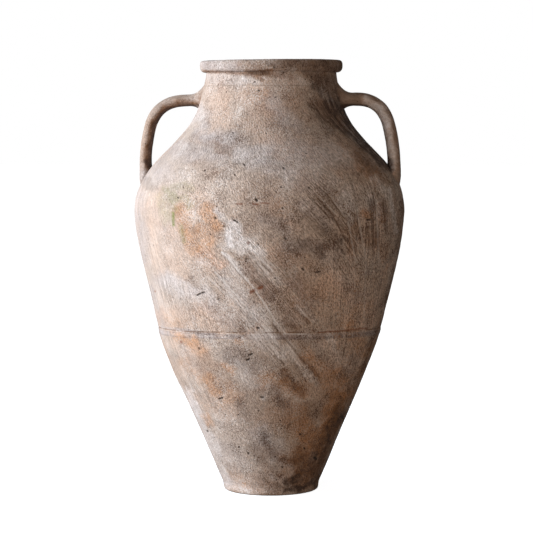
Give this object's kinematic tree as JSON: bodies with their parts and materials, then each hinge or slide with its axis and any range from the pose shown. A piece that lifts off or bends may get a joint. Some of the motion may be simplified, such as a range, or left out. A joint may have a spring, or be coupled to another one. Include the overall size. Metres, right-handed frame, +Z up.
{
  "type": "pottery jar",
  "caption": "Tall weathered earthenware storage jar with strap handles on its shoulder, tapering to a small flat foot, for oil, olives or grain.",
  "frame": {"origin": "centre of the resting face under the base", "axes": "+Z up along the jar's axis, handles on the X axis, -Y is the pictured front"},
  "size_m": [0.415, 0.415, 0.66],
  "materials": {
    "body_clay": "unglazed, weathered, pale lime bloom over orange-brown clay",
    "foot_clay": "unglazed, worn at the edge",
    "rim_clay": "unglazed, grey and sooty, worn on top",
    "handle_clay": "unglazed, handled smooth",
    "belt_slip": "grey smeared slip",
    "inner_clay": "unglazed, finger-smoothed"
  },
  "bodies": {
    "root": {"base_slab": "foot_clay", "base_inner_coil": "inner_clay", "lower_wall": "body_clay", "belt_luting_coil": "belt_slip", "belt_inner_coil": "inner_clay", "belly_wall": "body_clay", "shoulder_wall": "body_clay", "neck_collar": "body_clay", "rim_band": "rim_clay", "right_handle_strap": "handle_clay", "right_handle_upper_pad": "handle_clay", "right_handle_lower_pad": "handle_clay", "left_handle_strap": "handle_clay", "left_handle_upper_pad": "handle_clay", "left_handle_lower_pad": "handle_clay"}
  },
  "joints": []
}
